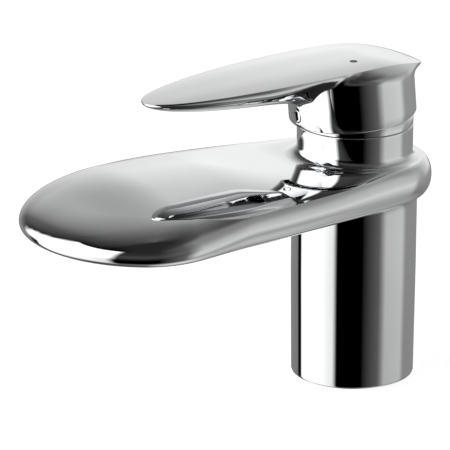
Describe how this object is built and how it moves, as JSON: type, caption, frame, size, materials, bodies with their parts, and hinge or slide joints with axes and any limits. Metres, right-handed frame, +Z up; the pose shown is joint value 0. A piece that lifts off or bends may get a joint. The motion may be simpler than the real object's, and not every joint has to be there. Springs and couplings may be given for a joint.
{
  "type": "basin mixer faucet",
  "caption": "Single-lever basin mixer with a round column, a wide flat oval spout with a rounded nose, and a leaf-shaped chrome lever that lifts and turns on a ceramic cartridge.",
  "frame": {"origin": "centre of the column's foot, in the plane where the foot rests on the deck", "axes": "+Z up along the column's axis, -Y along the spout towards the user, X the width with the hot side at -X"},
  "size_m": [0.0926, 0.1661, 0.1269],
  "materials": {
    "chrome_plating": "polished",
    "bare_brass": "turned",
    "bare_steel": "satin",
    "white_ceramic": "lapped",
    "black_rubber": "matt",
    "white_plastic": "moulded",
    "grey_plastic": "moulded",
    "dark_plastic": "moulded"
  },
  "bodies": {
    "body": {"body_casting": "chrome_plating", "base_gasket": "black_rubber", "cartridge_base": "grey_plastic", "hot_port_seal": "black_rubber", "cold_port_seal": "black_rubber", "disc_seal_plate": "black_rubber", "fixed_ceramic_disc": "white_ceramic", "cartridge_housing": "grey_plastic", "temperature_limiter_ring": "dark_plastic", "cartridge_nut": "bare_brass", "dome_cap": "chrome_plating", "dome_cap_seal": "black_rubber", "aerator_housing": "chrome_plating", "aerator_screen": "bare_steel", "flow_straightener": "white_plastic", "flow_regulator": "grey_plastic", "aerator_gasket": "black_rubber"},
    "guide": {"stem_guide": "white_plastic", "pivot_pin": "bare_steel"},
    "lever": {"stem": "bare_steel", "handle": "chrome_plating", "handle_bush": "white_plastic", "grub_screw": "bare_steel", "screw_plug": "chrome_plating", "index_dot": "dark_plastic"},
    "disc": {"disc_carrier": "white_plastic", "moving_ceramic_disc": "white_ceramic"}
  },
  "joints": [
    {"name": "temperature_turn", "type": "hinge", "parent": "body", "child": "guide", "pos_m": [0, 0, 0.0914], "axis": [0, 0, 1], "range_deg": [-45, 45]},
    {"name": "lever_lift", "type": "hinge", "parent": "guide", "child": "lever", "pos_m": [0, 0, 0.0914], "axis": [-1, 0, 0], "range_deg": [0, 22]},
    {"name": "disc_slide", "type": "slide", "parent": "guide", "child": "disc", "axis": [0, -1, 0], "range_m": [0, 0.0042]}
  ],
  "couplings": [
    {"joint": "disc_slide", "follows": "lever_lift", "m_per_rad": 0.0105}
  ]
}
